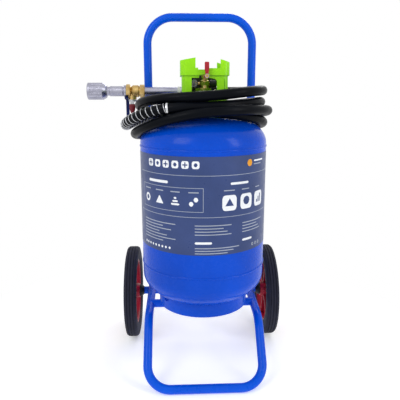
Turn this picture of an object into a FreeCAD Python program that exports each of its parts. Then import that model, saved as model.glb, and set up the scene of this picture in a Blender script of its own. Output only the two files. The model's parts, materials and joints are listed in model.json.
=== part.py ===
import FreeCAD, Part
import math
import os

V = FreeCAD.Vector
os.makedirs("parts", exist_ok=True)

# Sizes are millimetres, worked in a frame whose Z axis is the vessel's own axis and whose floor is z 0.
# The front, with the label, faces minus Y. Every part is moved to the middle of the footprint when written.

# Pressure vessel
VESSEL_R = 175.0
VESSEL_WALL = 3.0
LOWER_TANGENT_Z = 296.0
LOWER_SEAM_Z = 334.0
UPPER_SEAM_Z = 660.0
UPPER_TANGENT_Z = 671.0
HEAD_RISE = VESSEL_R / 2
HEAD_TOP_Z = UPPER_TANGENT_Z + HEAD_RISE
WELD_RISE = 1.8
NECK_HOLE_R = 24.0
NECK_BOSS_R = 32.0
NECK_TOP_Z = 778.0
DIP_TUBE_R = 9.0
LABEL_BOTTOM_Z = 396.0
LABEL_TOP_Z = 650.0
LABEL_HALF_ANGLE = 118.0
LABEL_THICK = 0.4

# Foot ring under the vessel
SKIRT_R = 129.0
SKIRT_WALL = 3.0
SKIRT_BOTTOM_Z = 201.0
VENT_ANGLES = (-57.0, 84.0, 194.0)
VENT_R = 12.0
VENT_Z = 237.0

# Bent tube frame
TUBE_R = 12.5
TUBE_WALL = 2.0
FRAME_HALF = 161.0
UPRIGHT_Y = 192.0
HANDLE_Z = 1029.0
HANDLE_BEND = 78.0
TUBE_SPLIT_Z = 330.0
RUN_BACK_Z = 172.0
RUN_FRONT_Y = -52.0
RUN_FRONT_Z = 157.0
FRONT_BAR_Y = -175.0
BACK_BEND = 45.0
KNEE_BEND = 70.0
FRONT_BEND = 64.0
CROSS_TUBE_Y = 45.0
CROSS_TUBE_Z = 165.0
BRACKET_ZS = (395.0, 628.0)
REST_BAR_Z = 664.0
REST_BAR_R = 8.0

# Wheels and axle
WHEEL_R = 150.0
WHEEL_WIDTH = 40.0
WHEEL_X = 225.0
AXLE_Y = 182.5
AXLE_Z = WHEEL_R
AXLE_ROD_R = 8.0
AXLE_TUBE_HALF = 189.0
SPOKES = 6

# Valve on the vessel's neck
OUTLET_X = 38.0
OUTLET_Z = 798.0
HOSE_EXIT_Y = 40.0
VALVE_X = 4.0
PORT_Z = 828.0
SPINDLE_X = 6.0
SPINDLE_Z = 846.0
SPINDLE_FRONT_Y = -76.0
LEVER_TOP_Z = 881.0

# Plastic guard round the valve
GUARD_X = 2.0
GUARD_BOTTOM_Z = 768.0
GUARD_STEP_Z = 851.0
GUARD_TOP_Z = 893.0
GUARD_WALL = 3.0
GUARD_LOWER = (122.0, 112.0)
GUARD_UPPER = (130.0, 120.0)

# Hose and its coil
HOSE_R = 13.0
SPRING_R = 15.0
COIL_X = -14.0
COIL_Y = 24.0
COIL_IN = (163.0, 133.0, 129.0, 117.0)
COIL_OUT = (210.0, 196.0, 214.0, 193.0)
COIL_LOW = (709.0, 672.6, 677.0, 740.0)
COIL_HIGH = (824.0, 786.0, 788.0, 807.0)
GROOVE_RISES = (0, 9, 18)

# Discharge gun, lying along X behind the guard
GUN_Y = 162.0
GUN_Z = 810.5
GUN_FERRULE_END = -24.0
GUN_TUBE_END = -62.0
GUN_TUBE_START = -170.0
GUN_VALVE_START = -226.0
BARREL_START = -295.5
NOZZLE_BACK = -285.0
NOZZLE_START = -343.0
NOZZLE_R = 25.5
MOUTH_R = 18.5
GUN_LEVER_X = -208.0
CRADLE_X = -226.0
CRADLE_Z = 736.0
CRADLE_HALF = 5.0
CRADLE_THICK = 4.0

# The footprint's middle, from the nozzle to the right wheel and from the front bar to the wheels' backs
CENTRE_X = (NOZZLE_START + WHEEL_X + WHEEL_WIDTH / 2) / 2
CENTRE_Y = (FRONT_BAR_Y - TUBE_R + AXLE_Y + WHEEL_R) / 2

X = V(1, 0, 0)
Y = V(0, 1, 0)
Z = V(0, 0, 1)
ORIGIN = V(0, 0, 0)


def save(name, *solids):
    """Writes one node: a single solid, or a group of separate ones."""
    shape = solids[0].copy() if len(solids) == 1 else Part.makeCompound([s.copy() for s in solids])
    shape.translate(V(-CENTRE_X, -CENTRE_Y, 0))
    shape.exportStep("parts/" + name + ".step")
    print(name, len(shape.Solids), "solid", round(shape.Volume / 1000, 2), "cm3", shape.isValid())


def rod(radius, start, end):
    """A solid cylinder between two points."""
    way = end - start
    return Part.makeCylinder(radius, way.Length, start, way)


def pipe(outer, inner, start, end):
    """A hollow cylinder between two points."""
    way = (end - start).normalize()
    return rod(outer, start, end).cut(rod(inner, start - way, end + way))


def hexagon(across, start, end, first=30):
    """A hexagonal bar between two points; first is the angle of its first corner."""
    way = end - start
    side = V(0, 0, 1) if abs(way.z) < abs(way.x) + abs(way.y) else V(1, 0, 0)
    corner = across / math.sqrt(3)
    points = []
    for k in range(7):
        turn = FreeCAD.Rotation(way, 60 * k + first)
        points.append(start + turn.multVec(side * corner))
    return Part.Face(Part.makePolygon(points)).extrude(way)


def turned(points, axis_point, axis):
    """The solid made by turning (radius, distance along the axis) points about the axis."""
    side = V(0, 0, 1) if abs(axis.z) < 0.5 else V(1, 0, 0)
    corners = [axis_point + side * r + axis * d for r, d in points]
    face = Part.Face(Part.makePolygon(corners + corners[:1]))
    return face.revolve(axis_point, axis, 360)


def block(x0, x1, y0, y1, z0, z1):
    """A box from its two ends along each axis."""
    return Part.makeBox(x1 - x0, y1 - y0, z1 - z0, V(x0, y0, z0))


def joined(shapes):
    """One solid from solids that overlap."""
    return shapes[0].multiFuse(list(shapes[1:])).removeSplitter()


def mirrored(shape):
    """The same piece on the other side of the vessel."""
    return shape.mirror(ORIGIN, X)


def route(points, radii):
    """A wire of straight runs and tangent arcs; radii holds one for each inner point."""
    edges = []
    start = points[0]
    for before, corner, after, radius in zip(points, points[1:], points[2:], radii):
        way_in = (corner - before).normalize()
        way_out = (after - corner).normalize()
        turn = way_in.getAngle(way_out)
        back = radius * math.tan(turn / 2)
        middle = (way_out - way_in).normalize()
        first = corner - way_in * back
        last = corner + way_out * back
        top = corner + middle * (radius / math.cos(turn / 2) - radius)
        edges.append(Part.LineSegment(start, first).toShape())
        edges.append(Part.Arc(first, top, last).toShape())
        start = last
    edges.append(Part.LineSegment(start, points[-1]).toShape())
    return Part.Wire(edges)


def swept(points, radii, radius):
    """A round bar along a route."""
    section = Part.Wire(Part.makeCircle(radius, points[0], points[1] - points[0]))
    return route(points, radii).makePipeShell([section], True, False)


def bent_tube(points, radii):
    """A frame tube along a route, hollow and open at its ends."""
    outer = swept(points, radii, TUBE_R)
    inner = swept(points, radii, TUBE_R - TUBE_WALL)
    return outer.cut(inner)


def wide_radii(points):
    """The largest arc radii that the runs of a route allow."""
    runs = [(b - a).Length for a, b in zip(points, points[1:])]
    radii = []
    for k in range(1, len(points) - 1):
        turn = (points[k] - points[k - 1]).getAngle(points[k + 1] - points[k])
        radii.append(0.45 * min(runs[k - 1], runs[k]) / math.tan(turn / 2))
    return radii


def cord_tube(name, points, radius):
    """A cord's tube, whose arcs are as large as its runs allow, with its radii and volume printed."""
    radii = wide_radii(points)
    tube = swept(points, radii, radius)
    ratio = tube.Volume / (math.pi * radius ** 2 * route(points, radii).Length)
    print(name, "length", round(route(points, radii).Length), "radii", [round(r) for r in radii], "volume", round(ratio, 4))
    return tube


# Vessel


def dome_face(outer_r, rise, flange, hole_r, bead):
    """Half the section of a two-to-one head with a straight flange, seam at z 0, and a weld bead on the flange."""
    inner_r = outer_r - VESSEL_WALL
    arcs = []
    for major, minor in ((outer_r, rise), (inner_r, rise - VESSEL_WALL)):
        stop = math.acos(hole_r / major)
        arc = Part.ArcOfEllipse(Part.Ellipse(ORIGIN, major, minor), 0, stop).toShape()
        arc.rotate(ORIGIN, X, 90)
        arc.translate(V(0, 0, flange))
        arcs.append(arc)
    outer_top = V(hole_r, 0, flange + rise * math.sqrt(1 - (hole_r / outer_r) ** 2))
    inner_top = V(hole_r, 0, flange + (rise - VESSEL_WALL) * math.sqrt(1 - (hole_r / inner_r) ** 2))
    weld = Part.Arc(V(outer_r, 0, 0), V(outer_r + bead, 0, 3), V(outer_r, 0, 6)).toShape()
    edges = [
        Part.LineSegment(V(inner_r, 0, 0), V(outer_r, 0, 0)).toShape(),
        weld,
        Part.LineSegment(V(outer_r, 0, 6), V(outer_r, 0, flange)).toShape(),
        arcs[0],
        Part.LineSegment(outer_top, inner_top).toShape(),
        arcs[1],
        Part.LineSegment(V(inner_r, 0, flange), V(inner_r, 0, 0)).toShape(),
    ]
    return Part.Face(Part.Wire(Part.__sortEdges__(edges)))


def head_solid(tangent_z, upward, grow=0.0):
    """The full outer form of a head, with a length of barrel, as a cutter."""
    ball = Part.makeSphere(VESSEL_R + grow)
    squash = FreeCAD.Matrix()
    squash.scale(1, 1, (HEAD_RISE + grow) / (VESSEL_R + grow))
    head = ball.transformGeometry(squash)
    head.translate(V(0, 0, tangent_z))
    way = -120 if upward else 120
    barrel_part = rod(VESSEL_R + grow, V(0, 0, tangent_z), V(0, 0, tangent_z + way))
    return head.fuse(barrel_part)


def make_vessel():
    save("vessel_barrel", pipe(VESSEL_R, VESSEL_R - VESSEL_WALL, V(0, 0, LOWER_SEAM_Z), V(0, 0, UPPER_SEAM_Z)))
    top = dome_face(VESSEL_R, HEAD_RISE, UPPER_TANGENT_Z - UPPER_SEAM_Z, NECK_HOLE_R, WELD_RISE)
    top_dome = top.revolve(ORIGIN, Z, 360)
    top_dome.translate(V(0, 0, UPPER_SEAM_Z))
    save("top_dome", top_dome)
    low = dome_face(VESSEL_R, HEAD_RISE, LOWER_SEAM_Z - LOWER_TANGENT_Z, 1.0, WELD_RISE)
    bottom_dome = low.revolve(ORIGIN, Z, 360).mirror(ORIGIN, Z)
    flange = LOWER_SEAM_Z - LOWER_TANGENT_Z
    plug = rod(1.5, V(0, 0, -flange - HEAD_RISE + 0.2), V(0, 0, -flange - HEAD_RISE + VESSEL_WALL - 0.2))
    bottom_dome = bottom_dome.fuse(plug)
    bottom_dome.translate(V(0, 0, LOWER_SEAM_Z))
    save("bottom_dome", bottom_dome)

    boss = rod(NECK_BOSS_R, V(0, 0, HEAD_TOP_Z - 10), V(0, 0, NECK_TOP_Z))
    boss = boss.makeChamfer(1.5, [e for e in boss.Edges if e.BoundBox.ZMin > NECK_TOP_Z - 1 and e.Length > 100])
    boss = boss.cut(head_solid(UPPER_TANGENT_Z, True))
    boss = boss.fuse(rod(NECK_HOLE_R, V(0, 0, HEAD_TOP_Z - 12), V(0, 0, HEAD_TOP_Z + 2)))
    boss = boss.cut(rod(18.05, V(0, 0, HEAD_TOP_Z - 20), V(0, 0, NECK_TOP_Z + 5)))
    save("neck_boss", boss.removeSplitter())

    label = pipe(VESSEL_R + 0.05 + LABEL_THICK, VESSEL_R + 0.05, V(0, 0, LABEL_BOTTOM_Z), V(0, 0, LABEL_TOP_Z))
    gap = Part.makeCylinder(
        VESSEL_R + 5, LABEL_TOP_Z, ORIGIN, Z, 360 - 2 * LABEL_HALF_ANGLE
    )
    gap.rotate(ORIGIN, Z, LABEL_HALF_ANGLE - 90)
    save("label_sheet", label.cut(gap))

    skirt = pipe(SKIRT_R, SKIRT_R - SKIRT_WALL, V(0, 0, SKIRT_BOTTOM_Z), V(0, 0, LOWER_TANGENT_Z - 30))
    skirt = skirt.cut(head_solid(LOWER_TANGENT_Z, False))
    for angle in VENT_ANGLES:
        way = V(math.sin(math.radians(angle)), -math.cos(math.radians(angle)), 0)
        vent = rod(VENT_R, V(0, 0, VENT_Z) + way * (SKIRT_R - 20), V(0, 0, VENT_Z) + way * (SKIRT_R + 20))
        skirt = skirt.cut(vent)
    save("foot_ring", max(skirt.Solids, key=lambda s: s.Volume))

    dip = pipe(DIP_TUBE_R, DIP_TUBE_R - 1.5, V(0, 0, LOWER_TANGENT_Z - HEAD_RISE + 12), V(0, 0, HEAD_TOP_Z - 8))
    slant = block(-20, 20, -20, 20, -30, 0)
    slant.rotate(ORIGIN, Y, 25)
    slant.translate(V(0, 0, LOWER_TANGENT_Z - HEAD_RISE + 17))
    save("dip_tube", dip.cut(slant))


# Frame


def stand_route():
    """The lower tube: down from the uprights, forward beside the foot ring, down to the floor and across."""
    side = [
        V(-FRAME_HALF, UPRIGHT_Y, TUBE_SPLIT_Z),
        V(-FRAME_HALF, UPRIGHT_Y, RUN_BACK_Z),
        V(-FRAME_HALF, RUN_FRONT_Y, RUN_FRONT_Z),
        V(-FRAME_HALF, FRONT_BAR_Y, TUBE_R),
    ]
    other = [V(-p.x, p.y, p.z) for p in reversed(side)]
    return side + other, [BACK_BEND, KNEE_BEND, FRONT_BEND, FRONT_BEND, KNEE_BEND, BACK_BEND]


def make_frame():
    handle_points = [
        V(-FRAME_HALF, UPRIGHT_Y, TUBE_SPLIT_Z),
        V(-FRAME_HALF, UPRIGHT_Y, HANDLE_Z),
        V(FRAME_HALF, UPRIGHT_Y, HANDLE_Z),
        V(FRAME_HALF, UPRIGHT_Y, TUBE_SPLIT_Z),
    ]
    save("handle_tube", bent_tube(handle_points, [HANDLE_BEND, HANDLE_BEND]))
    points, radii = stand_route()
    save("stand_tube", bent_tube(points, radii))
    stand_outer = swept(points, radii, TUBE_R)

    cross = rod(TUBE_R, V(-FRAME_HALF, CROSS_TUBE_Y, CROSS_TUBE_Z), V(FRAME_HALF, CROSS_TUBE_Y, CROSS_TUBE_Z))
    cross = cross.cut(stand_outer)
    cross = max(cross.Solids, key=lambda s: s.Volume)
    hollow = rod(TUBE_R - TUBE_WALL, V(-FRAME_HALF, CROSS_TUBE_Y, CROSS_TUBE_Z), V(FRAME_HALF, CROSS_TUBE_Y, CROSS_TUBE_Z))
    save("cross_tube", cross.cut(hollow))
    cross_outer = rod(TUBE_R, V(-FRAME_HALF, CROSS_TUBE_Y, CROSS_TUBE_Z), V(FRAME_HALF, CROSS_TUBE_Y, CROSS_TUBE_Z))

    # Two lugs stand on the cross tube and are welded to the inside of the foot ring.
    lug_profile = [V(92, 0, CROSS_TUBE_Z), V(125.9, 0, CROSS_TUBE_Z), V(125.9, 0, 232), V(113, 0, 232), V(92, 0, 196)]
    lug = Part.Face(Part.makePolygon(lug_profile + lug_profile[:1])).extrude(V(0, 5, 0))
    lug.translate(V(0, CROSS_TUBE_Y - 2.5, 0))
    room = rod(SKIRT_R - SKIRT_WALL, V(0, 0, SKIRT_BOTTOM_Z - 80), V(0, 0, LOWER_TANGENT_Z))
    lug = lug.common(room).cut(cross_outer).cut(head_solid(LOWER_TANGENT_Z, False, 0.5))
    lug = max(lug.Solids, key=lambda s: s.Volume)
    save("foot_ring_lugs", lug, mirrored(lug))

    # Flat bars behind the vessel carry it between the uprights.
    for name, z in zip(("lower_bracket", "upper_bracket"), BRACKET_ZS):
        half = 20
        front_y = VESSEL_R
        back_y = UPRIGHT_Y - TUBE_R
        plate = block(-FRAME_HALF - 9, FRAME_HALF + 9, front_y, back_y, z - half, z + half)
        ends = [e for e in plate.Edges if abs(e.BoundBox.YLength - (back_y - front_y)) < 0.01 and e.Length < 6]
        plate = plate.makeFillet(9, ends)
        saddle = pipe(VESSEL_R + 4, VESSEL_R, V(0, 0, z - half + 4), V(0, 0, z + half - 4))
        saddle = saddle.common(block(-45, 45, 100, front_y, z - half, z + half))
        bar = plate.fuse(saddle)
        for sign in (-1, 1):
            for dz in (-9, 9):
                at = V(sign * FRAME_HALF, 0, z + dz)
                bar = bar.cut(rod(3.3, at + V(0, front_y - 5, 0), at + V(0, back_y + 5, 0)))
        save(name, bar.removeSplitter())
    bolts = []
    for z in BRACKET_ZS:
        for sign in (-1, 1):
            for dz in (-9, 9):
                at = V(sign * FRAME_HALF, 0, z + dz)
                front_y = VESSEL_R
                head = hexagon(10, at + V(0, front_y - 4.5, 0), at + V(0, front_y, 0))
                shank = rod(3.0, at + V(0, front_y - 1, 0), at + V(0, UPRIGHT_Y - TUBE_R - 0.1, 0))
                bolts.append(joined([head, shank]))
    save("bracket_bolts", *bolts)

    bar = rod(REST_BAR_R, V(-FRAME_HALF, UPRIGHT_Y, REST_BAR_Z), V(FRAME_HALF, UPRIGHT_Y, REST_BAR_Z))
    uprights = swept(handle_points, [HANDLE_BEND, HANDLE_BEND], TUBE_R)
    bar = max(bar.cut(uprights).Solids, key=lambda s: s.Volume)
    save("hose_rest_bar", bar)

    # The gun's cradle is a flat strap from the upright with a curved saddle, open in front and at the top.
    back_y = GUN_Y + 25.3
    arm = block(CRADLE_X - CRADLE_HALF, -FRAME_HALF, back_y - CRADLE_THICK, back_y, CRADLE_Z - 5, CRADLE_Z + 5)
    strap = block(
        CRADLE_X - CRADLE_HALF, CRADLE_X + CRADLE_HALF, back_y - CRADLE_THICK, back_y, CRADLE_Z - 5, GUN_Z + 1.5
    )
    arm = arm.cut(uprights)
    arm = max(arm.Solids, key=lambda s: s.Volume)
    saddle = pipe(25, 21.3, V(CRADLE_X - CRADLE_HALF, GUN_Y, GUN_Z), V(CRADLE_X + CRADLE_HALF, GUN_Y, GUN_Z))
    saddle = saddle.common(block(CRADLE_X - 9, CRADLE_X + 9, GUN_Y - 14, back_y, GUN_Z - 30, GUN_Z + 1.5))
    save("gun_cradle", joined([arm, strap, saddle]))

    # The axle tube crosses under the bends, held by a gusset on each side.
    save(
        "axle_tube",
        pipe(TUBE_R, AXLE_ROD_R + 0.5, V(-AXLE_TUBE_HALF, AXLE_Y, AXLE_Z), V(AXLE_TUBE_HALF, AXLE_Y, AXLE_Z)).cut(
            stand_outer
        ),
    )
    gusset_profile = [
        V(0, AXLE_Y - 42, AXLE_Z - 6),
        V(0, AXLE_Y - 10, AXLE_Z - 20),
        V(0, AXLE_Y + 16, AXLE_Z - 20),
        V(0, AXLE_Y + 22, AXLE_Z + 6),
        V(0, AXLE_Y + 20, AXLE_Z + 62),
        V(0, AXLE_Y - 42, AXLE_Z + 26),
    ]
    gusset = Part.Face(Part.makePolygon(gusset_profile + gusset_profile[:1])).extrude(V(5, 0, 0))
    gusset.translate(V(FRAME_HALF - 2.5, 0, 0))
    axle_outer = rod(TUBE_R, V(0, AXLE_Y, AXLE_Z), V(250, AXLE_Y, AXLE_Z))
    gusset = gusset.cut(stand_outer).cut(axle_outer)
    gusset = max(gusset.Solids, key=lambda s: s.Volume)
    save("axle_gussets", gusset, mirrored(gusset))
    save("axle_rod", rod(AXLE_ROD_R, V(-WHEEL_X - 18, AXLE_Y, AXLE_Z), V(WHEEL_X + 18, AXLE_Y, AXLE_Z)))

    axle = V(0, AXLE_Y, AXLE_Z)
    cone = turned([(AXLE_ROD_R, 189), (TUBE_R, 189), (20, 199), (20, 204.4), (AXLE_ROD_R, 204.4)], axle, X)
    save("axle_spacers", cone, mirrored(cone))
    cap = turned([(AXLE_ROD_R, 237.2), (15, 237.2), (15, 239), (11, 243), (AXLE_ROD_R, 243)], axle, X)
    save("axle_clips", cap, mirrored(cap))


# Wheels


def make_wheels():
    axle = V(0, AXLE_Y, AXLE_Z)
    half = WHEEL_WIDTH / 2
    seat_r = 106.0
    for name, side in (("left", -1), ("right", 1)):
        way = X * side
        tread = WHEEL_R
        points = [(seat_r, WHEEL_X - half + 6), (seat_r + 6, WHEEL_X - half + 2), (tread - 12, WHEEL_X - half)]
        points += [(tread - 4, WHEEL_X - half + 2), (tread - 0.6, WHEEL_X - half + 7)]
        for groove in (-9, 0, 9):
            middle = WHEEL_X + groove
            points += [(tread, middle - 1.6), (tread - 2.5, middle - 1), (tread - 2.5, middle + 1), (tread, middle + 1.6)]
        points += [(tread - 0.6, WHEEL_X + half - 7), (tread - 4, WHEEL_X + half - 2), (tread - 12, WHEEL_X + half)]
        points += [(seat_r + 6, WHEEL_X + half - 2), (seat_r, WHEEL_X + half - 6)]
        save(name + "_tyre", turned(points, axle, way))

        band = [(seat_r, WHEEL_X - 14), (seat_r, WHEEL_X + 14), (seat_r - 3, WHEEL_X + 14), (seat_r - 5, WHEEL_X + 10)]
        band += [(seat_r - 5, WHEEL_X - 10), (seat_r - 3, WHEEL_X - 14)]
        hub = [(13, WHEEL_X - 20), (23, WHEEL_X - 20), (26, WHEEL_X - 8), (26, WHEEL_X + 4), (21, WHEEL_X + 11)]
        hub += [(13, WHEEL_X + 11)]
        pieces = [turned(band, axle, way), turned(hub, axle, way)]
        for k in range(SPOKES):
            root = 13.0
            tip = 9.0
            outline = [V(0, -root, 20), V(0, root, 20), V(0, tip, seat_r - 2), V(0, -tip, seat_r - 2)]
            web = Part.Face(Part.makePolygon(outline + outline[:1])).extrude(V(4, 0, 0))
            rib_outline = [V(0, 0, 22), V(13, 0, 22), V(8, 0, seat_r - 2), V(0, 0, seat_r - 2)]
            rib = Part.Face(Part.makePolygon(rib_outline + rib_outline[:1])).extrude(V(0, 4, 0))
            rib.translate(V(-9, -2, 0))
            spoke = web.fuse(rib)
            spoke.rotate(ORIGIN, X, 360 / SPOKES * k + 12)
            spoke.translate(axle + V(side * WHEEL_X, 0, 0))
            pieces.append(spoke)
        rim = joined(pieces).cut(rod(13.0, axle + way * 150, axle + way * 260))
        save(name + "_rim", rim)
        save(name + "_bush", pipe(13.0, AXLE_ROD_R + 0.05, axle + way * (WHEEL_X - 20), axle + way * (WHEEL_X + 11)))


# Valve


def make_valve():
    top_z = 853.0
    body = [(7, 752), (18, 752), (18, 781.6), (19, 790), (19, 812), (14, 817), (0, 817), (0, 812), (7, 806)]
    column = turned(body, ORIGIN, Z)
    base = hexagon(50, V(0, 0, 781.6), V(0, 0, 791))
    shoulder = hexagon(42, V(0, 0, 808), V(0, 0, 816))
    upper = [(0, 812), (12, 812), (12, 836), (9.5, 838), (9.5, top_z - 1), (8.5, top_z), (0, top_z)]
    upper_column = turned(upper, V(VALVE_X, 0, 0), Z)
    middle_boss = hexagon(27, V(VALVE_X, 0, 824), V(VALVE_X, 0, 833))
    cross = rod(9.5, V(-21, 0, OUTLET_Z + 1), V(12, 0, OUTLET_Z + 1))
    nose = rod(6.8, V(SPINDLE_X, -14, SPINDLE_Z), V(SPINDLE_X, 12, SPINDLE_Z))
    port = rod(6, V(VALVE_X, 0, PORT_Z), V(20, 0, PORT_Z))
    valve = joined([column, base, shoulder, upper_column, middle_boss, cross, nose, port])
    valve = valve.cut(rod(7, V(0, 0, 750), V(0, 0, 806)))
    valve = valve.cut(rod(6.5, V(0, 0, OUTLET_Z), V(30, 0, OUTLET_Z)))
    valve = valve.cut(rod(4.05, V(SPINDLE_X, -30, SPINDLE_Z), V(SPINDLE_X, 8, SPINDLE_Z)))
    save("valve_body", valve)
    cap = turned([(0, 21), (6, 21), (6, 17), (9, 17), (10, 18), (10, 34), (8.5, 36), (0, 36)], V(0, 0, PORT_Z), X)
    save("port_cap", cap.cut(middle_boss))

    elbow_points = [V(17, 0, OUTLET_Z), V(OUTLET_X, 0, OUTLET_Z), V(OUTLET_X, 14, OUTLET_Z)]
    elbow = swept(elbow_points, [12], 10).fuse(hexagon(24, V(22, 0, OUTLET_Z), V(26, 0, OUTLET_Z)))
    elbow = elbow.cut(swept(elbow_points, [12], 6.5)).cut(rod(19, V(0, 0, 785), V(0, 0, 812))).cut(base)
    save("outlet_elbow", max(elbow.Solids, key=lambda s: s.Volume))
    nut = hexagon(28, V(OUTLET_X, 14, OUTLET_Z), V(OUTLET_X, 26, OUTLET_Z))
    save("outlet_nut", nut.cut(rod(6.5, V(OUTLET_X, 5, OUTLET_Z), V(OUTLET_X, 30, OUTLET_Z))))
    ferrule = turned([(6.5, 26), (15, 26), (15.5, 29), (15.5, 38), (14.5, 40), (6.5, 40)], V(OUTLET_X, 0, OUTLET_Z), Y)
    save("outlet_ferrule", ferrule)

    front = V(SPINDLE_X, SPINDLE_FRONT_Y, SPINDLE_Z)
    spindle = rod(4, front, V(SPINDLE_X, 7.5, SPINDLE_Z))
    save("valve_spindle", spindle)
    blade = [V(-3, 0, SPINDLE_Z - 1), V(3, 0, SPINDLE_Z - 1), V(5.8, 0, 862), V(5.8, 0, LEVER_TOP_Z)]
    blade += [V(-5.8, 0, LEVER_TOP_Z), V(-5.8, 0, 862)]
    plate = Part.Face(Part.makePolygon(blade + blade[:1])).extrude(V(0, 4, 0))
    tips = [e for e in plate.Edges if e.BoundBox.ZMin > LEVER_TOP_Z - 1 and abs(e.Length - 4) < 0.01]
    plate = plate.makeFillet(2.5, tips)
    plate.translate(V(SPINDLE_X, SPINDLE_FRONT_Y + 5, 0))
    hub = rod(6, front + Y * 3, front + Y * 11)
    bore = rod(4, front - Y * 10, front + Y * 20)
    save("valve_lever", joined([plate, hub]).cut(bore))
    save("valve_lever_nut", hexagon(10, front, front + Y * 3).cut(bore))

    gauge = V(-27, -16, 829)
    case = turned([(0, 0), (11.5, 0), (12, 1), (12, 14), (10, 16), (0, 16)], gauge, Y)
    case = case.cut(rod(10.5, gauge - Y, gauge + Y * 4))
    save("gauge_case", case)
    dial = rod(10.4, gauge + Y * 3, gauge + Y * 4).fuse(rod(1.2, gauge + Y * 2.2, gauge + Y * 3))
    save("gauge_dial", dial.removeSplitter())
    save("gauge_lens", rod(10.4, gauge + Y * 0.4, gauge + Y * 1.6))
    stem = rod(3.5, V(-22, -3, 829), V(0, -3, 829)).cut(case).cut(valve)
    save("gauge_stem", max(stem.Solids, key=lambda s: s.Volume))


def rounded_plate(width, depth, radius, z0, z1):
    """An upright prism with rounded corners, centred on the guard."""
    plate = block(GUARD_X - width / 2, GUARD_X + width / 2, -depth / 2, depth / 2, z0, z1)
    corners = [e for e in plate.Edges if abs(e.BoundBox.ZLength - (z1 - z0)) < 0.01 and e.BoundBox.XLength < 0.01]
    return plate.makeFillet(radius, [e for e in corners if e.BoundBox.YLength < 0.01])


def front_prism(points, y0, y1):
    """A prism along Y from (x, z) points."""
    corners = [V(x, y0, z) for x, z in points]
    return Part.Face(Part.makePolygon(corners + corners[:1])).extrude(V(0, y1 - y0, 0))


def make_guard():
    low_w, low_d = GUARD_LOWER
    up_w, up_d = GUARD_UPPER
    wall = 2 * GUARD_WALL
    lower = rounded_plate(low_w, low_d, 14, GUARD_BOTTOM_Z, GUARD_STEP_Z + 1)
    lower = lower.cut(rounded_plate(low_w - wall, low_d - wall, 11, GUARD_BOTTOM_Z - 5, GUARD_STEP_Z + 5))
    upper = rounded_plate(up_w, up_d, 17, GUARD_STEP_Z - 3, GUARD_TOP_Z)
    upper = upper.cut(rounded_plate(up_w - wall, up_d - wall, 14, GUARD_STEP_Z, GUARD_TOP_Z + 5))
    upper = upper.cut(rounded_plate(low_w - wall, low_d - wall, 11, GUARD_STEP_Z - 5, GUARD_STEP_Z + 5))
    floor = rounded_plate(low_w - 2, low_d - 2, 13, NECK_TOP_Z + 0.3, NECK_TOP_Z + 3.3)
    shell = joined([lower, upper, floor])

    # The top is cut to two ears with falling tops, with a stepped notch between them, front and back.
    shell = shell.cut(front_prism([(-80, 882.5), (-22, 892.5), (-22, 900), (-80, 900)], -80, 80))
    shell = shell.cut(front_prism([(42, 888.5), (80, 877), (80, 900), (42, 900)], -80, 80))
    notch = [(-23, 900), (-23, 867), (-16, 867), (-16, 862.5), (12, 862.5), (12, 866), (42, 866), (42, 900)]
    shell = shell.cut(front_prism(notch, -80, 80))

    # Window in the front wall, the moulded line beside it and a narrow slot.
    window = [(-33, 786), (-33, 842), (-13.5, 842), (-13.5, 850), (12.5, 850), (12.5, 842), (28, 839), (33, 834), (33, 786)]
    shell = shell.cut(front_prism(window, -80, -40))
    shell = shell.cut(block(52.5, 54.2, -80, -40, 800, 838))
    step_y = -low_d / 2 + 1
    line = front_prism([(14, 848.6), (34, 847.2), (53, 839), (53, 837.6), (34, 845.8), (14, 847.2)], -80, step_y)
    shell = shell.cut(line)

    # Back wall opening for the outlet, hole for the neck, and stiffening ribs inside the side walls.
    shell = shell.cut(block(14, 58, 40, 80, NECK_TOP_Z + 3.3, 826))
    shell = shell.cut(rod(18.3, V(0, 0, 700), V(0, 0, 800)))
    ribs = []
    for y in (-30, 0, 30):
        inner = low_w / 2 - GUARD_WALL
        for sign in (-1, 1):
            x_wall = GUARD_X + sign * (inner + 0.5)
            x_in = GUARD_X + sign * (inner - 5)
            ribs.append(block(min(x_wall, x_in), max(x_wall, x_in), y - 1.2, y + 1.2, NECK_TOP_Z + 2, 846))
    save("guard_shroud", joined([shell] + ribs))

    # A bent plastic screen stands behind the valve, with a notch over the outlet.
    screen_z = NECK_TOP_Z + 3.6
    screen = block(-48, 50, 30, 33, screen_z, 852).cut(block(OUTLET_X - 18, 60, 0, 60, screen_z - 1, 822))
    screen = screen.fuse(block(-48, -45, 8, 33, screen_z, 846)).fuse(block(47, 50, 2, 33, 822, 846))
    save("guard_screen", screen.removeSplitter())


# Hose


def around(values, angle):
    """A value that runs smoothly through those at the right, back, left and front."""
    right, back, left, front = values
    turn = math.radians(angle)
    once = (right - left) / 2 * math.cos(turn) + (back - front) / 2 * math.sin(turn)
    twice = (right + left - back - front) / 4 * math.cos(2 * turn)
    return sum(values) / 4 + once + twice


def rounded_edges(corners, radius):
    """The edges of a rectangle with rounded corners."""
    edges = []
    count = len(corners)
    cut = radius * (1 - math.sqrt(0.5))
    for k in range(count):
        before, here, after = corners[k - 1], corners[k], corners[(k + 1) % count]
        back = (before - here).normalize()
        ahead = (after - here).normalize()
        first = here + back * radius
        last = here + ahead * radius
        edges.append(Part.Arc(first, here + (back + ahead) * cut, last).toShape())
        edges.append(Part.LineSegment(last, after - ahead * radius).toShape())
    return edges


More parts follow.
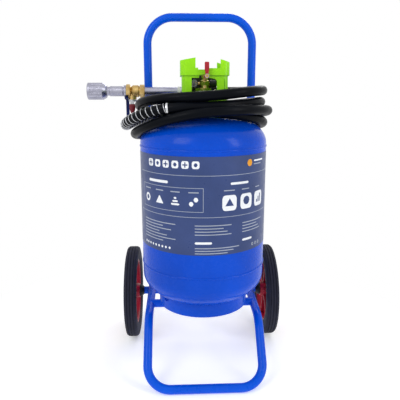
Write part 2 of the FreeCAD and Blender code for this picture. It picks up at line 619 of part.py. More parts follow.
def make_hose():
    lead_points = [
        V(OUTLET_X, HOSE_EXIT_Y, OUTLET_Z),
        V(OUTLET_X, 99, 793),
        V(12, 153, 779),
        V(-36, 188, 765),
        V(-94, 197, 750),
    ]
    lead = cord_tube("hose_lead", lead_points, HOSE_R)
    save("hose_lead", lead)
    save("hose_spring", cord_tube("hose_spring", lead_points, SPRING_R).cut(lead))
    end_points = [
        V(160, -20, GUN_Z),
        V(171, 42, GUN_Z),
        V(151, 106, GUN_Z),
        V(102, 150, GUN_Z),
        V(39, 164, GUN_Z),
        V(GUN_FERRULE_END + 0.3, GUN_Y, GUN_Z),
    ]
    save("hose_end", cord_tube("hose_end", end_points, HOSE_R))

    # The coiled turns are one closed body of their outer shape, wider and lower at the front.
    sections = []
    for k in range(12):
        angle = 30 * k
        r_in, r_out = around(COIL_IN, angle), around(COIL_OUT, angle)
        z_low, z_high = around(COIL_LOW, angle), around(COIL_HIGH, angle)
        corners = [V(r_in, 0, z_low), V(r_out, 0, z_low), V(r_out, 0, z_high), V(r_in, 0, z_high)]
        edges = rounded_edges(corners, HOSE_R - 1)
        wire = Part.Wire(edges)
        wire.rotate(ORIGIN, Z, angle)
        wire.translate(V(COIL_X, COIL_Y, 0))
        sections.append(wire)
    ring = Part.makeLoft(sections, True, False, True)
    if ring.Volume < 0:
        ring.reverse()
    ring = ring.cut(head_solid(UPPER_TANGENT_Z, True, WELD_RISE + 0.3))
    # The turns lie on the rest bar behind the vessel.
    rest = rod(REST_BAR_R + 0.3, V(-FRAME_HALF, UPRIGHT_Y, REST_BAR_Z), V(FRAME_HALF, UPRIGHT_Y, REST_BAR_Z))
    ring = ring.cut(rest)
    # The last half turn lifts with the gun, so it lies in a groove that is open at the top.
    entry = (end_points[1] - end_points[0]).normalize()
    way_out = (end_points[4] - end_points[3]).normalize()
    groove_points = [end_points[0] - entry * 0.3] + end_points[1:4] + [end_points[3] + way_out * 80]
    for rise in GROOVE_RISES:
        room = 0.7 + 0.1 * rise
        groove = swept([p + Z * rise for p in groove_points], wide_radii(groove_points), HOSE_R + room)
        ring = ring.cut(groove)
    ring = max(ring.Solids, key=lambda s: s.Volume)
    save("hose_coil", ring)


# Gun


def make_gun():
    at = V(0, GUN_Y, GUN_Z)
    ferrule = [(6.5, GUN_TUBE_END), (15, GUN_TUBE_END), (15.5, -56), (15.5, -28), (14.5, GUN_FERRULE_END)]
    ferrule += [(6.5, GUN_FERRULE_END)]
    save("gun_ferrule", turned(ferrule, at, X))
    save("gun_tube", pipe(13, 10, at + X * GUN_TUBE_START, at + X * (GUN_TUBE_END - 8)))
    save("gun_tube_ring", pipe(14.5, 8, at + X * (GUN_TUBE_END - 8), at + X * GUN_TUBE_END))

    valve = [(8, GUN_VALVE_START), (16, GUN_VALVE_START), (16, -214), (13, -212), (18, -206), (18, -190), (15, -186)]
    valve += [(15, GUN_TUBE_START), (8, GUN_TUBE_START)]
    body = turned(valve, at, X)
    front_hex = hexagon(36, at + X * -226, at + X * -215, 0)
    back_hex = hexagon(34, at + X * -185, at + X * -171, 0)
    stuffing = rod(12, at + X * GUN_LEVER_X, at + V(GUN_LEVER_X, 0, -24.7))
    body = joined([body, front_hex, back_hex, stuffing])
    body = body.cut(rod(8, at + X * -230, at + X * -160)).cut(Part.makeSphere(12.1, at + X * GUN_LEVER_X))
    body = body.cut(rod(4.05, at + X * GUN_LEVER_X, at + V(GUN_LEVER_X, 0, -30)))
    save("gun_valve_body", body)
    ball = Part.makeSphere(12, at + X * GUN_LEVER_X)
    ball = ball.cut(rod(7.5, at + V(GUN_LEVER_X, -20, 0), at + V(GUN_LEVER_X, 20, 0)))
    save("gun_ball", ball)
    stem = rod(4, at + V(GUN_LEVER_X, 0, -7.9), at + V(GUN_LEVER_X, 0, -34)).cut(ball)
    save("gun_stem", max(stem.Solids, key=lambda s: s.Volume))
    hub = rod(12, at + V(GUN_LEVER_X, 0, -31), at + V(GUN_LEVER_X, 0, -25))
    hub = hub.makeChamfer(1.5, [e for e in hub.Edges if e.Closed and e.BoundBox.ZMax < GUN_Z - 30])
    arm = block(GUN_LEVER_X - 6, GUN_LEVER_X + 6, GUN_Y - 20, GUN_Y - 4, GUN_Z - 31, GUN_Z - 28)
    drop = block(GUN_LEVER_X - 6, GUN_LEVER_X + 6, GUN_Y - 20, GUN_Y - 17, GUN_Z - 60, GUN_Z - 28)
    lever = joined([hub, arm, drop]).cut(rod(4, at + V(GUN_LEVER_X, 0, -40), at + V(GUN_LEVER_X, 0, -10)))
    save("gun_lever", lever)
    nut = hexagon(10, at + V(GUN_LEVER_X, 0, -34), at + V(GUN_LEVER_X, 0, -31))
    save("gun_lever_nut", nut.cut(rod(4, at + V(GUN_LEVER_X, 0, -40), at + V(GUN_LEVER_X, 0, -10))))
    sections = []
    for z, half_x in ((-38, 8.0), (-56, 8.0), (-66, 3.5)):
        middle = V(GUN_LEVER_X, GUN_Y - 18.5, GUN_Z + z)
        oval = Part.Ellipse(middle, half_x, 0.62 * half_x).toShape()
        sections.append(Part.Wire(oval))
    sleeve = Part.makeLoft(sections, True, False).cut(drop)
    save("gun_lever_sleeve", sleeve)

    collar = [(8, -234), (17, -234), (18, -233), (18, -227), (17, GUN_VALVE_START), (8, GUN_VALVE_START)]
    save("gun_collar", turned(collar, at, X))
    neck_end = NOZZLE_BACK + 0.3
    barrel = [(9, BARREL_START), (13, BARREL_START), (14, BARREL_START + 1), (14, neck_end), (14.5, neck_end)]
    barrel += [(14.5, -276), (15.2, -275), (15.2, -237), (14.2, -234), (9, -234)]
    barrel_solid = turned(barrel, at, X)
    for side in (-1, 1):
        flat = block(neck_end, -276, GUN_Y - 30, GUN_Y + 30, GUN_Z + side * 16 - 3, GUN_Z + side * 16 + 3)
        barrel_solid = barrel_solid.cut(flat)
    save("gun_barrel", barrel_solid)

    # The nozzle head is a twist-grip shell with scooped flutes round it and a flared mouth.
    head = [(MOUTH_R, NOZZLE_START), (23, NOZZLE_START), (NOZZLE_R, NOZZLE_START + 2), (NOZZLE_R, -297)]
    head += [(21, -288), (18, NOZZLE_BACK), (14.08, NOZZLE_BACK), (14.08, -296), (8, -300), (8, -316)]
    head += [(MOUTH_R, NOZZLE_START + 18)]
    nozzle = turned(head, at, X)
    flutes = 18
    for k in range(flutes):
        turn = FreeCAD.Rotation(X, 360 / flutes * k)
        off = turn.multVec(V(0, 0, 27.4))
        nozzle = nozzle.cut(rod(3.2, at + off + X * (NOZZLE_START + 9), at + off + X * -299))
    save("nozzle_head", nozzle)


make_vessel()
make_frame()
make_wheels()
make_valve()
make_guard()
make_hose()
make_gun()
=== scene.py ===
import json
import math

import bpy
import bmesh
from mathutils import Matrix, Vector


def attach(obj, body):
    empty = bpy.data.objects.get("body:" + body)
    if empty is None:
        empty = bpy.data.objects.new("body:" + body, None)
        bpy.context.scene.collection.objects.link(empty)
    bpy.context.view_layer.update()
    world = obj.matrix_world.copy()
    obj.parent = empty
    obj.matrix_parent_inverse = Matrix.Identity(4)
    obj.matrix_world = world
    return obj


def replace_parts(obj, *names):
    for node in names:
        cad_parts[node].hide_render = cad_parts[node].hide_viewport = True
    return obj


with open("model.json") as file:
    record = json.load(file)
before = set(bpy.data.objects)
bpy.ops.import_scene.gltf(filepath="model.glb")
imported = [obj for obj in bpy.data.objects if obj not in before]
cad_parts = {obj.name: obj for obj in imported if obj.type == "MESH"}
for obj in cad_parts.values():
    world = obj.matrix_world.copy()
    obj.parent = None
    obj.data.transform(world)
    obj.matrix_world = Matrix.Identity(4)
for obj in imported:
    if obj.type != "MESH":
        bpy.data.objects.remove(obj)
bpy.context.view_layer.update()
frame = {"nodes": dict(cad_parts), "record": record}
nodes = frame["nodes"]

# The vessel's axis in the frame. The script's unit is the metre, and names that end in MM hold millimetres.
AXIS_X = 0.049
AXIS_Y = -0.0725
VESSEL_R = 0.175

# Camera: the fitted place of the photograph's
CAMERA_LENS = 41.42
CAMERA_SPOT_MM = (-67.85, -1292.45, 791.2)
CAMERA_PITCH = 77.47
CAMERA_TURN = -2.62

# Hose: the free stretch from the outlet, the stretch to the gun, and the turns between them
HOSE_D = 0.026
LEAD_MM = [(38, 40, 798), (38, 99, 793), (12, 153, 779), (-36, 188, 765), (-94, 197, 750)]
LAST_MM = [
    (160, -20, 810.5),
    (171, 42, 810.5),
    (151, 106, 810.5),
    (102, 150, 810.5),
    (39, 164, 810.5),
    (-23.7, 162, 810.5),
]
COIL_END_MM = [(103, -115.4, 806), (153, -59.4, 810)]
COIL_MIDDLE_MM = (-14, 24)
COIL_FIRST = 136
COIL_LAST = 1367
POINT_ANGLE = 22.5
# The line cuts the corners between its control points, so these are set out by this factor.
POINT_REACH = 1.012
# Angle in degrees from the right, distance from the coil's middle and height of the line, in mm
COIL_MARKS = [
    (114.8, 190.6, 750),
    (135, 193, 740),
    (157, 199, 722),
    (180, 202, 714),
    (203, 202, 730),
    (222, 192, 752),
    (240, 178, 768),
    (256, 165, 766),
    (270, 158, 768),
    (360, 176.5, 780),
    (450, 148, 738),
    (540, 142, 745),
    (630, 130, 757),
    (675, 158, 746),
    (720, 187, 722),
    (810, 178, 683),
    (900, 177, 690),
    (990, 180, 755),
    (1080, 197, 755),
    (1170, 178, 711),
    (1215, 166, 742),
    (1260, 163, 770),
    (1305, 160, 787),
    (1350, 160, 794),
    (1401, 178, 805),
    (1414, 182, 808),
]

# Guard spring: from the outlet's ferrule to a bright ring
SPRING_START = 0.004
SPRING_END = 0.68
SPRING_PITCH = 0.0155
WIRE_R = 0.0011
# The wire is pressed a little into the rubber: its middle stands this share of its radius above it.
WIRE_STAND = 0.8
WIRE_STEPS = 20
RING_HALF = 0.003
RING_EDGE = 0.001
RING_STEPS = 40

# Label: a film on the barrel with print on it; layers of print are thicker than in life so that they show
LABEL_R = VESSEL_R + 0.00045
LABEL_LOW_Z = 0.396
LABEL_HEIGHT_MM = 254
LABEL_HALF_MM = 361
LABEL_THICK = 0.0004
PRINT_THICK = 0.00012
PRINT_STEP_MM = 2.5
LEAST_HEIGHT = 0.00005

# Gauge face
GAUGE_MM = (-27, -13, 829)
# Inner and outer distance from the dial's middle
SCALE_MM = (6.2, 8.6)
TICK_MM = (8.9, 10.0)
NEEDLE_MM = (0.9, 8.2)

# Lamps: name, place, the point they look at, size and power in watts
LAMPS = (
    ("key", (-1.6, -1.8, 2.2), (0, 0, 0.5), (1.2, 1.6), 26),
    ("fill", (1.9, -1.4, 1.5), (0, 0, 0.5), (0.5, 1.8), 16),
    ("rim", (0.6, 1.8, 2.0), (0, 0, 0.6), (1.6, 1.0), 16),
)

# Floor: the shadow shows up to the first distance and is gone at the second
SHADOW_REACH = 0.35
PLAIN_FLOOR = 0.85


def at(x, y, z):
    """A point in metres from millimetres measured from the vessel's axis and the floor."""
    return Vector((x / 1000 + AXIS_X, y / 1000 + AXIS_Y, z / 1000))


def linked(name, data):
    """A new object in the scene."""
    obj = bpy.data.objects.new(name, data)
    bpy.context.scene.collection.objects.link(obj)
    return obj


def finished(name, mesh, made, smooth=False):
    """A piece from built faces, turned outwards."""
    bmesh.ops.recalc_face_normals(mesh, faces=mesh.faces)
    data = bpy.data.meshes.new(name)
    mesh.to_mesh(data)
    mesh.free()
    data.polygons.foreach_set("use_smooth", [smooth] * len(data.polygons))
    data.materials.append(made)
    return linked(name, data)


def skin(mesh, rings, closed=False):
    """Faces between rings of points, with the ends filled, or joined where the row of rings is closed."""
    count = len(rings[0])
    pairs = list(zip(rings, rings[1:]))
    if closed:
        pairs.append((rings[-1], rings[0]))
    for a, b in pairs:
        for k in range(count):
            after = (k + 1) % count
            mesh.faces.new((a[k], b[k], b[after], a[after]))
    if not closed:
        mesh.faces.new(rings[0])
        mesh.faces.new(rings[-1][::-1])


# Materials


def rgb(code):
    """Linear colour from an sRGB hex code."""
    out = []
    for k in (0, 2, 4):
        value = int(code[k : k + 2], 16) / 255
        out.append(value / 12.92 if value <= 0.04045 else ((value + 0.055) / 1.055) ** 2.4)
    return (*out, 1)


def material(name, code, roughness=0.4, metallic=0.0, **sockets):
    """A new material with a principled shader; further sockets are set by name with _ for spaces."""
    made = bpy.data.materials.new(name)
    made.use_nodes = True
    shader = made.node_tree.nodes["Principled BSDF"]
    shader.inputs["Base Color"].default_value = rgb(code)
    shader.inputs["Roughness"].default_value = roughness
    shader.inputs["Metallic"].default_value = metallic
    for key, value in sockets.items():
        shader.inputs[key.replace("_", " ")].default_value = value
    return made


def node(made, kind, links=(), **values):
    """Adds a node; links are (input, source output); values set properties or, after in_, inputs."""
    new = made.node_tree.nodes.new(kind)
    for key, value in values.items():
        if key.startswith("in_"):
            new.inputs[key[3:].replace("_", " ")].default_value = value
        else:
            setattr(new, key, value)
    for name, source in links:
        made.node_tree.links.new(source, new.inputs[name])
    return new


def into(made, socket, source):
    """Links a source to the principled shader."""
    made.node_tree.links.new(source, made.node_tree.nodes["Principled BSDF"].inputs[socket])


def space(made):
    """Object coordinates."""
    return node(made, "ShaderNodeTexCoord").outputs["Object"]


def speckle(made, scale, detail=4.0, stretch=(1, 1, 1)):
    """A noise pattern whose scale is in features per metre."""
    moved = node(made, "ShaderNodeMapping", [("Vector", space(made))], in_Scale=stretch)
    out = node(made, "ShaderNodeTexNoise", [("Vector", moved.outputs[0])], in_Scale=scale, in_Detail=detail)
    return out.outputs["Fac"]


def spread(made, source, low_value, high_value, low_from=0.3, high_from=0.7):
    """Maps a pattern to a range of values."""
    out = node(made, "ShaderNodeMapRange", [("Value", source)])
    out.inputs["From Min"].default_value = low_from
    out.inputs["From Max"].default_value = high_from
    out.inputs["To Min"].default_value = low_value
    out.inputs["To Max"].default_value = high_value
    return out.outputs[0]


def mixed(made, factor, code_a, code_b):
    """A colour between two, by a pattern."""
    out = node(made, "ShaderNodeMix", data_type="RGBA")
    made.node_tree.links.new(factor, out.inputs["Factor"])
    codes = {"A": code_a, "B": code_b}
    for socket in out.inputs:
        if socket.type == "RGBA" and socket.name in codes:
            socket.default_value = rgb(codes[socket.name])
    return out.outputs[2]


def bumped(made, height, distance, strength):
    """Bump from a pattern, with its depth in metres."""
    out = node(made, "ShaderNodeBump", [("Height", height)], in_Strength=strength, in_Distance=distance)
    into(made, "Normal", out.outputs[0])


def paint(name, code, darker, roughness=0.22):
    """Enamel over steel: slight colour drift, orange peel and fine dust in the gloss."""
    made = material(name, code, roughness, Coat_Weight=0.05, Coat_Roughness=0.08, Specular_IOR_Level=0.12)
    into(made, "Base Color", mixed(made, spread(made, speckle(made, 6, 3), 0, 1), code, darker))
    into(made, "Roughness", spread(made, speckle(made, 60, 6), roughness - 0.05, roughness + 0.12))
    bumped(made, speckle(made, 260, 2), 0.0002, 0.12)
    return made


def metal(name, code, darker, roughness=0.35, grain=(1, 1, 1), scale=400):
    """Bare metal with turned or cast grain and uneven gloss."""
    made = material(name, code, roughness, 1.0)
    into(made, "Base Color", mixed(made, spread(made, speckle(made, 45, 5), 0, 1), code, darker))
    into(made, "Roughness", spread(made, speckle(made, scale, 4, grain), roughness - 0.1, roughness + 0.15))
    bumped(made, speckle(made, scale, 3, grain), 0.00004, 0.2)
    return made


def plastic(name, code, darker, roughness=0.4, scale=900, gloss=0.3):
    """Moulded plastic, rubber or print with a fine grain."""
    made = material(name, code, roughness, Specular_IOR_Level=gloss)
    into(made, "Base Color", mixed(made, spread(made, speckle(made, 12, 3), 0, 1), code, darker))
    into(made, "Roughness", spread(made, speckle(made, 80, 5), roughness - 0.08, roughness + 0.1))
    bumped(made, speckle(made, scale, 2), 0.00006, 0.3)
    return made


# Gloss enamel of the vessel and of the trolley's tubes, and on the gun's strap the blue enamel darkened to
# navy as painted shade
vessel_paint = paint("blue_enamel_vessel", "004CCC", "0043B8")
frame_paint = paint("blue_enamel_tube", "0258DC", "014DCB", 0.25)
strap_shade_paint = paint("navy_enamel_strap", "0A1C58", "08174A", 0.3)
lever_red = paint("red_lever_enamel", "B8323C", "A52A34", 0.3)

# Vinyl film of the label and the inks on it
label_film = plastic("printed_film_slate", "36487A", "2E3F6C", 0.35)
print_white = plastic("print_white", "F0F2F4", "E4E7EA", 0.4)
print_grey = plastic("print_grey", "A9B0BC", "9DA5B2", 0.4)
print_orange = plastic("print_orange", "E8A02A", "DD9422", 0.4)

# Moulded plastics: nylon washers and caps, the guard, its screen in a dark olive that is painted shade of
# the guard's inside, rims, bushes, grip and dial
black_plastic = plastic("black_nylon", "17181B", "1E2023", 0.5)
guard_plastic = plastic("lime_polypropylene", "9CEB0A", "90E006", 0.32)
screen_shade_plastic = plastic("olive_polypropylene", "1F2A14", "182210", 0.45)
rim_plastic = plastic("red_wheel_nylon", "A8142C", "8E1026", 0.35)
nylon = plastic("natural_nylon", "DAD9D2", "CFCDC4", 0.45)
grip_red = plastic("red_vinyl_grip", "7A2230", "6C1C28", 0.3)
dial_black = plastic("dial_black", "121316", "17181C", 0.5)
lens = material("gauge_lens_acrylic", "FFFFFF", 0.05, Transmission_Weight=1.0, IOR=1.45)

# Rubber of the solid tyres and the smooth cover of the hose
tyre_rubber = plastic("tyre_rubber", "2B2C3A", "22232F", 0.75, 500, 0.2)
hose_rubber = plastic("hose_rubber", "04060B", "080B12", 0.36, 700, 0.06)

# Bare metals: zinc-plated steel, chromed steel, cast brass and turned aluminium
zinc = metal("zinc_plate", "C2C4C8", "A8ABB0", 0.32)
chrome = metal("hard_chrome", "D8DADD", "C6C9CD", 0.12)
brass = metal("cast_brass", "D8BE84", "B08E50", 0.34, scale=250)
alloy = metal("turned_aluminium", "B4B4C2", "9898A8", 0.3, (1, 12, 12), 40)

SLOT_MATERIALS = {
    "vessel_paint": vessel_paint,
    "frame_paint": frame_paint,
    "label_film": label_film,
    "black_plastic": black_plastic,
    "zinc_steel": zinc,
    "chrome_steel": chrome,
    "valve_brass": brass,
    "gauge_face": dial_black,
    "gauge_window": lens,
    "guard_plastic": guard_plastic,
    "hose_rubber": hose_rubber,
    "tyre_rubber": tyre_rubber,
    "wheel_plastic": rim_plastic,
    "bush_nylon": nylon,
    "red_lever": lever_red,
    "red_sleeve": grip_red,
    "gun_alloy": alloy,
}


def dress_nodes():
    """Gives each node of the frame its slot's material; the strap and the screen get darker ones of their
    own, which are painted shade.
    """
    for part in frame["record"]["subparts"]:
        obj = nodes[part["node"]]
        obj.data.materials.clear()
        obj.data.materials.append(SLOT_MATERIALS[part["material_slot"]])
    for name, made in (("gun_cradle", strap_shade_paint), ("guard_screen", screen_shade_plastic)):
        nodes[name].data.materials[0] = made


# Hose


def coil_value(angle, column):
    """Distance or height at an angle, on a smooth curve through the marks."""
    marks = COIL_MARKS
    k = max(i for i in range(len(marks) - 1) if marks[i][0] <= angle)
    step = marks[k + 1][0] - marks[k][0]
    t = (angle - marks[k][0]) / step

    def slope(i):
        before, after = marks[max(i - 1, 0)], marks[min(i + 1, len(marks) - 1)]
        return (after[column] - before[column]) / (after[0] - before[0]) * step

    a, b = marks[k][column], marks[k + 1][column]
    return (
        (2 * t**3 - 3 * t**2 + 1) * a
        + (t**3 - 2 * t**2 + t) * slope(k)
        + (3 * t**2 - 2 * t**3) * b
        + (t**3 - t**2) * slope(k + 1)
    )


def coil_points():
    """Control points of the turns, sixteen to a turn, set out a little so that the line meets the marks."""
    points = []
    count = round((COIL_LAST - COIL_FIRST) / POINT_ANGLE)
    for k in range(count + 1):
        angle = COIL_FIRST + (COIL_LAST - COIL_FIRST) * k / count
        r = coil_value(angle, 1) * POINT_REACH
        turn = math.radians(angle)
        x = COIL_MIDDLE_MM[0] + r * math.cos(turn)
        y = COIL_MIDDLE_MM[1] + r * math.sin(turn)
        points.append((x, y, coil_value(angle, 2)))
    return points


def line(name, points):
    """A smooth open line with the points as its control points, in the frame."""
    curve = bpy.data.curves.new(name, "CURVE")
    curve.dimensions = "3D"
    spline = curve.splines.new("NURBS")
    spline.points.add(len(points) - 1)
    for spot, point in zip(spline.points, points):
        spot.co = (*at(*point), 1)
    spline.order_u = 3
    spline.use_endpoint_u = True
    curve.resolution_u = 10
    return linked(name, curve)


def traced(obj):
    """The points that a line follows."""
    mesh = bpy.data.meshes.new_from_object(obj)
    points = [v.co.copy() for v in mesh.vertices]
    bpy.data.meshes.remove(mesh)
    return points


def hose_along(name, points, body):
    """A stretch of hose on a body, with the path that it follows."""
    obj = line(name, points)
    path = traced(obj)
    obj.data.bevel_depth = HOSE_D / 2
    obj.data.bevel_resolution = 7
    obj.data.use_fill_caps = True
    obj.data.materials.append(hose_rubber)
    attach(obj, body)
    return obj, path


def frames_along(points):
    """Positions with two directions across the line, carried along without twist."""
    out = []
    across = Vector((0, 0, 1))
    travelled = 0.0
    for k, here in enumerate(points):
        ahead = points[min(k + 1, len(points) - 1)] - points[max(k - 1, 0)]
        ahead.normalize()
        across = (across - ahead * across.dot(ahead)).normalized()
        if k:
            travelled += (here - points[k - 1]).length
        out.append((travelled, here.copy(), across.copy(), ahead.cross(across), ahead.copy()))
    return out


def along(frames, distance):
    """The frame at a distance along the line."""
    k = 0
    while k < len(frames) - 2 and frames[k + 1][0] < distance:
        k += 1
    a, b = frames[k], frames[k + 1]
    t = (distance - a[0]) / (b[0] - a[0])
    return [a[i].lerp(b[i], t) for i in range(1, 5)]


def off_line(up, side, turn, radius):
    """The way from a line to a point at an angle round it."""
    return (up * math.cos(turn) + side * math.sin(turn)) * radius


def make_spring(hose_frames):
    """The wire wound round the hose from the outlet's ferrule to the end ring."""
    curve = bpy.data.curves.new("hose_spring_wire", "CURVE")
    curve.dimensions = "3D"
    spline = curve.splines.new("POLY")
    count = int((SPRING_END - SPRING_START) / SPRING_PITCH * WIRE_STEPS)
    spline.points.add(count)
    for k in range(count + 1):
        where, up, side, _ = along(hose_frames, SPRING_START + (SPRING_END - SPRING_START) * k / count)
        turn = 2 * math.pi * k / WIRE_STEPS
        spline.points[k].co = (*(where + off_line(up, side, turn, HOSE_D / 2 + WIRE_R * WIRE_STAND)), 1)
    curve.bevel_depth = WIRE_R
    curve.bevel_resolution = 2
    obj = linked("hose_spring_wire", curve)
    obj.data.materials.append(zinc)
    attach(obj, "cart")
    return obj


def make_end_ring(hose_frames):
    """The bright crimped ring where the spring ends."""
    bore = HOSE_D / 2 - 0.0005
    shoulder = HOSE_D / 2 + 0.0016
    crown = HOSE_D / 2 + 0.0024
    flat = RING_HALF - RING_EDGE
    profile = [(-RING_HALF, bore), (-RING_HALF, shoulder), (-flat, crown)]
    profile += [(flat, crown), (RING_HALF, shoulder), (RING_HALF, bore)]
    where, up, side, ahead = along(hose_frames, SPRING_END)
    mesh = bmesh.new()
    rings = []
    for offset, radius in profile:
        ring = []
        for k in range(RING_STEPS):
            turn = 2 * math.pi * k / RING_STEPS
            ring.append(mesh.verts.new(where + ahead * offset + off_line(up, side, turn, radius)))
        rings.append(ring)
    skin(mesh, rings, closed=True)
    obj = finished("spring_end_ring", mesh, chrome, smooth=True)
    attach(obj, "cart")
    return obj


def make_hose():
    """The hose with its spring and end ring on the cart, and its last half turn on the gun."""
    hose, hose_path = hose_along("hose", LEAD_MM + coil_points() + COIL_END_MM + LAST_MM[:1], "cart")
    hose_tail, tail_path = hose_along("hose_last_turn", LAST_MM, "gun")
    hose_frames = frames_along(hose_path)
    spring = make_spring(hose_frames)
    end_ring = make_end_ring(hose_frames)
    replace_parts(hose, "hose_lead", "hose_coil")
    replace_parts(spring, "hose_spring")
    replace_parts(hose_tail, "hose_end")


# Label


class Print:
    """One colour of print, gathered in one mesh; a higher layer lies on the ones below.

    Sizes are millimetres, along the label's curve from its front line and up from its foot.
    """

    def __init__(self, name, made, layer=0, thick=PRINT_THICK):
        self.name = name
        self.made = made
        self.inner = LABEL_R + layer * thick
        self.outer = self.inner + thick
        self.mesh = bmesh.new()

    def strip(self, first, last, bottom, top):
        """A shape between two edges, each a height that depends on the distance along the label."""
        count = max(2, math.ceil((last - first) / PRINT_STEP_MM))
        rings = []
        for k in range(count + 1):
            s = first + (last - first) * k / count
            turn = s / 1000 / LABEL_R
            way = Vector((math.sin(turn), -math.cos(turn), 0))
            base = LABEL_LOW_Z + bottom(s) / 1000
            head = max(LABEL_LOW_Z + top(s) / 1000, base + LEAST_HEIGHT)
            corners = ((self.inner, base), (self.outer, base), (self.outer, head), (self.inner, head))
            rings.append([self.mesh.verts.new(Vector((AXIS_X, AXIS_Y, z)) + way * r) for r, z in corners])
        skin(self.mesh, rings)

    def bar(self, left, foot, width, height, corner=0.0):
        """A rectangle with rounded corners."""

        def inset(s):
            edge = min(s - left, left + width - s)
            if edge >= corner:
                return 0.0
            return corner - math.sqrt(max(corner**2 - (corner - edge) ** 2, 0))

        self.strip(left, left + width, lambda s: foot + inset(s), lambda s: foot + height - inset(s))

    def disc(self, middle, centre, radius):
        """A filled circle."""

        def half(s):
            return math.sqrt(max(radius**2 - (s - middle) ** 2, 0))

        self.strip(middle - radius, middle + radius, lambda s: centre - half(s), lambda s: centre + half(s))

    def peak(self, middle, foot, half, height):
        """A triangle on its base."""

        def edge(s):
            return foot + height * (1 - abs(s - middle) / half)

        self.strip(middle - half, middle + half, lambda s: foot, edge)

    def frame(self, left, foot, width, height, thick):
        """An outlined rectangle."""
        self.bar(left, foot, width, thick)
        self.bar(left, foot + height - thick, width, thick)
        for x in (left, left + width - thick):
            self.bar(x, foot + thick, thick, height - 2 * thick)

    def lines(self, left, top, pitch, lengths):
        """Thin bars under each other."""
        for row, length in enumerate(lengths):
            self.bar(left, top - pitch * row, length, 2.2)

    def done(self):
        """The finished piece, on the cart."""
        obj = finished(self.name, self.mesh, self.made)
        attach(obj, "cart")
        return obj


def print_head(white, grey, dark, orange):
    """A row of rounded tiles with crosses and dots in turn, an orange disc with two bars, and two rules."""
    tile = 19
    for k in range(6):
        left = -172 + 27 * k
        white.bar(left, 224, tile, tile, 4)
        if k % 2:
            dark.disc(left + tile / 2, 224 + tile / 2, 5)
        else:
            dark.bar(left + 8, 227, 3, 13)
            dark.bar(left + 3, 232, 13, 3)
    orange.disc(122, 234, 9)
    white.bar(138, 236, 46, 4, 2)
    grey.bar(138, 228, 34, 2.4)
    for foot in (206, 100):
        grey.bar(-230, foot, 460, 1.2)


def print_middle(white, grey, dark):
    """An outlined panel with a ring, a triangle, steps and two dots, and three tiles to its right."""
    white.bar(-172, 184, 70, 7, 3)
    grey.frame(-204, 114, 196, 62, 1.2)
    ring, triangle, steps, dots = [-180 + 49 * k for k in range(4)]
    for middle in (ring, triangle, steps, dots):
        grey.bar(middle - 13, 163, 26, 2.6)
    white.disc(ring, 140, 11)
    dark.disc(ring, 140, 6)
    white.peak(triangle, 130, 13, 22)
    for k in range(3):
        half = 12 - 4 * k
        white.bar(steps - half, 130 + 8 * k, 2 * half, 5, 2)
    white.disc(dots - 6, 135, 6)
    white.disc(dots + 6, 146, 6)

    tiles = [40 + 52 * k for k in range(3)]
    for k, left in enumerate(tiles):
        white.bar(left, 116, 40, 40, 9)
        grey.bar(left + 4, 167, 30 - 5 * k, 2.4)
    dark.peak(tiles[0] + 20, 128, 12, 20)
    dark.disc(tiles[1] + 20, 138, 11)
    for k in range(3):
        dark.bar(tiles[2] + 9 + 8 * k, 126, 5, 8 + 7 * k)
    white.bar(62, 182, 56, 6, 2)


def print_foot(white, grey, dark):
    """Thin bars in three columns, a row of small discs and a row of rings."""
    grey.lines(-200, 78, 8, [118 - 13 * (row * 3 % 5) for row in range(7)])
    grey.lines(-30, 78, 8, [96 - 11 * (row * 2 % 3) for row in range(4)])
    grey.lines(100, 78, 8, [84 - 9 * (row * 3 % 4) for row in range(4)])
    grey.lines(-30, 18, 7, [120 - 17 * row for row in range(3)])
    white.bar(-30, 30, 44, 6, 2)
    white.bar(100, 30, 36, 6, 2)
    for k in range(9):
        white.disc(-196 + 12 * k, 14, 3.4)
    for k in range(3):
        grey.disc(140 + 14 * k, 14, 4.5)
        dark.disc(140 + 14 * k, 14, 2.5)


def print_label():
    """The label's film and a plain design on it."""
    film = Print("label_film", label_film, -1, LABEL_THICK)
    film.bar(-LABEL_HALF_MM, 0, 2 * LABEL_HALF_MM, LABEL_HEIGHT_MM)
    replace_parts(film.done(), "label_sheet")
    white = Print("label_print_white", print_white)
    grey = Print("label_print_grey", print_grey)
    dark = Print("label_print_dark", label_film, 1)
    orange = Print("label_print_orange", print_orange)
    print_head(white, grey, dark, orange)
    print_middle(white, grey, dark)
    print_foot(white, grey, dark)
    for colour in (white, grey, dark, orange):
        colour.done()


# Gauge face


def dial_part(name, made, turns, inner, outer, front):
    """A flat arc on the dial through angles from the top, a little proud of the face; sizes in mm."""
    mesh = bmesh.new()
    x0, y0, z0 = GAUGE_MM
    rings = []
    for turn in turns:
        ring = []
        for radius, depth in ((inner, 0.0), (outer, 0.0), (outer, front), (inner, front)):
            x = x0 + radius * math.sin(math.radians(turn))
            z = z0 + radius * math.cos(math.radians(turn))
            ring.append(mesh.verts.new(at(x, y0 - depth, z)))
        rings.append(ring)
    skin(mesh, rings)
    obj = finished(name, mesh, made)
    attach(obj, "cart")


def arc(first, last, step=6):
    """Angles between two, evenly spaced."""
    count = max(1, round((last - first) / step))
    return [first + (last - first) * k / count for k in range(count + 1)]


def make_gauge_face():
    """A scale of three coloured arcs, ticks and a needle behind the lens."""
    # Red, green and yellow dial inks
    inks = (
        ("gauge_arc_low", "dial_red", "C22A2A", "B02222", -120, -50),
        ("gauge_arc_good", "dial_green", "2FA54A", "289341", -48, 48),
        ("gauge_arc_high", "dial_yellow", "E3C52C", "D2B524", 50, 120),
    )
    for name, ink, code, darker, first, last in inks:
        made = plastic(ink, code, darker, 0.45)
        dial_part(name, made, arc(first, last), *SCALE_MM, 0.15)
    for k in range(9):
        angle = -120 + 30 * k
        dial_part("gauge_tick_" + str(k), print_white, arc(angle - 2, angle + 2, 4), *TICK_MM, 0.12)
    dial_part("gauge_needle", print_white, arc(8, 14, 6), *NEEDLE_MM, 0.5)


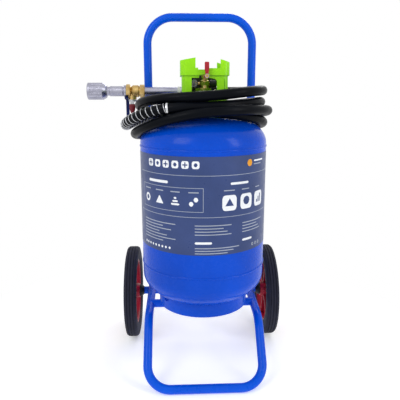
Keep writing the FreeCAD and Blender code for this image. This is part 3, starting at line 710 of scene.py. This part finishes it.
# Camera, light and floor


def place_camera():
    """The photograph's view."""
    data = bpy.data.cameras.new("camera")
    data.lens = CAMERA_LENS
    data.sensor_width = 36
    camera = linked("camera", data)
    camera.location = at(*CAMERA_SPOT_MM)
    camera.rotation_euler = (math.radians(CAMERA_PITCH), 0, math.radians(CAMERA_TURN))
    bpy.context.scene.camera = camera


def seen_or_mirrored(tree):
    """One for the camera's rays and for what is seen in a gloss or through glass."""
    path = tree.nodes.new("ShaderNodeLightPath")
    total = path.outputs["Is Camera Ray"]
    for name in ("Is Glossy Ray", "Is Transmission Ray"):
        add = tree.nodes.new("ShaderNodeMath")
        add.operation = "ADD"
        add.use_clamp = True
        tree.links.new(total, add.inputs[0])
        tree.links.new(path.outputs[name], add.inputs[1])
        total = add.outputs[0]
    return total


def background(tree, colour, strength):
    """A background shader."""
    new = tree.nodes.new("ShaderNodeBackground")
    new.inputs["Color"].default_value = (*colour, 1)
    new.inputs["Strength"].default_value = strength
    return new


def make_world():
    """A white surround for the eye and a softer, slightly cool one for light."""
    world = bpy.data.worlds.new("studio")
    bpy.context.scene.world = world
    world.use_nodes = True
    tree = world.node_tree
    tree.nodes.clear()
    white = background(tree, (1, 1, 1), 1.0)
    soft = background(tree, (0.94, 0.96, 1), 0.6)
    blend = tree.nodes.new("ShaderNodeMixShader")
    out = tree.nodes.new("ShaderNodeOutputWorld")
    tree.links.new(seen_or_mirrored(tree), blend.inputs[0])
    tree.links.new(soft.outputs[0], blend.inputs[1])
    tree.links.new(white.outputs[0], blend.inputs[2])
    tree.links.new(blend.outputs[0], out.inputs[0])


def area_light(name, location, target, size, energy):
    """A rectangular lamp that looks at a point."""
    data = bpy.data.lights.new(name, "AREA")
    data.shape = "RECTANGLE"
    data.size, data.size_y = size
    data.energy = energy
    lamp = linked(name, data)
    lamp.location = location
    aim = Vector(target) - Vector(location)
    lamp.rotation_euler = aim.to_track_quat("-Z", "Y").to_euler()


def make_lights():
    """A key from the left front, a narrow fill from the right and a rim light from behind."""
    for lamp in LAMPS:
        area_light(*lamp)


def make_floor():
    """A pale floor that keeps the shadow near the object and is plain white farther off."""
    mesh = bpy.data.meshes.new("floor")
    mesh.from_pydata([(-6, -4, 0), (6, -4, 0), (6, 8, 0), (-6, 8, 0)], [], [(0, 1, 2, 3)])
    floor = linked("floor", mesh)
    # Matt white vinyl, with a faint glow that lifts the shadow
    made = material("floor_white", "FFFFFF", 0.9, Emission_Color=(1, 1, 1, 1), Emission_Strength=0.3)
    tree = made.node_tree
    shader = tree.nodes["Principled BSDF"]
    distance = node(made, "ShaderNodeVectorMath", [(0, space(made))], operation="LENGTH")
    far = spread(made, distance.outputs["Value"], 0, 1, SHADOW_REACH, PLAIN_FLOOR)
    factor = node(made, "ShaderNodeMath", [(0, far), (1, seen_or_mirrored(tree))], operation="MULTIPLY")
    white = node(made, "ShaderNodeEmission")
    parts = [(0, factor.outputs[0]), (1, shader.outputs[0]), (2, white.outputs[0])]
    mix = node(made, "ShaderNodeMixShader", parts)
    tree.links.new(mix.outputs[0], tree.nodes["Material Output"].inputs["Surface"])
    floor.data.materials.append(made)


bpy.context.scene.view_settings.view_transform = "Standard"
place_camera()
dress_nodes()
make_hose()
print_label()
make_gauge_face()
make_world()
make_lights()
make_floor()
